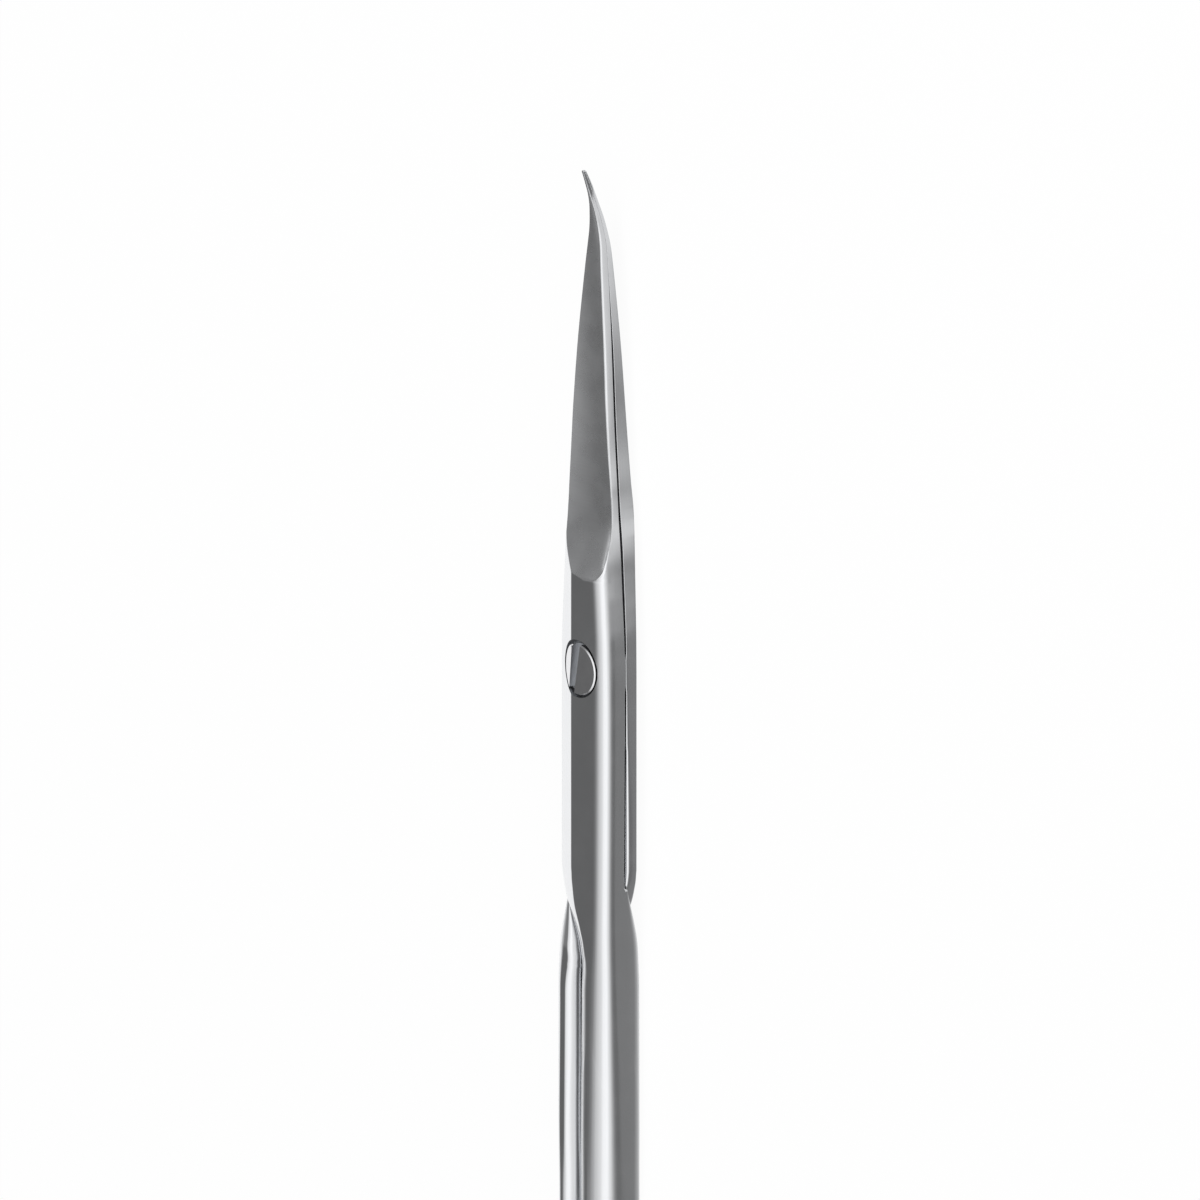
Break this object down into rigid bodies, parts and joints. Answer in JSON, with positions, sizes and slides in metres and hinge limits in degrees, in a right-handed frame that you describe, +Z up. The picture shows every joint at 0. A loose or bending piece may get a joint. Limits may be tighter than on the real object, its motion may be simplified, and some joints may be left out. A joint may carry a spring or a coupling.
{
  "type": "cuticle scissors",
  "caption": "Slim steel cuticle scissors with ground blades, tips that curve up, a flush slotted pivot screw and oval finger rings.",
  "frame": {"origin": "Centre of the closed tool's bounding box, on the plane that it lies on.", "axes": "+Y runs along the closed blades to the tips, +X points to the finger ring of the near arm, +Z points up through the screw's head. The tips curve towards +Z."},
  "size_m": [0.0486, 0.1098, 0.0038],
  "materials": {
    "arm_steel": "polished forged stainless steel, with matte ground faces on the blades",
    "screw_steel": "stainless steel ground flush with the arm"
  },
  "bodies": {
    "far_arm": {"far_arm": "arm_steel"},
    "near_arm": {"near_arm": "arm_steel"},
    "pivot_screw": {"pivot_screw": "screw_steel"}
  },
  "joints": [
    {"name": "opening", "type": "hinge", "parent": "far_arm", "child": "near_arm", "pos_m": [0, 0.02065, 0.00191], "axis": [0, 0, 1], "range_deg": [0, 160]},
    {"name": "screw_turn", "type": "hinge", "parent": "far_arm", "child": "pivot_screw", "pos_m": [0, 0.02065, 0.00191], "axis": [0, 0, 1], "range_deg": [-45, 45]}
  ]
}
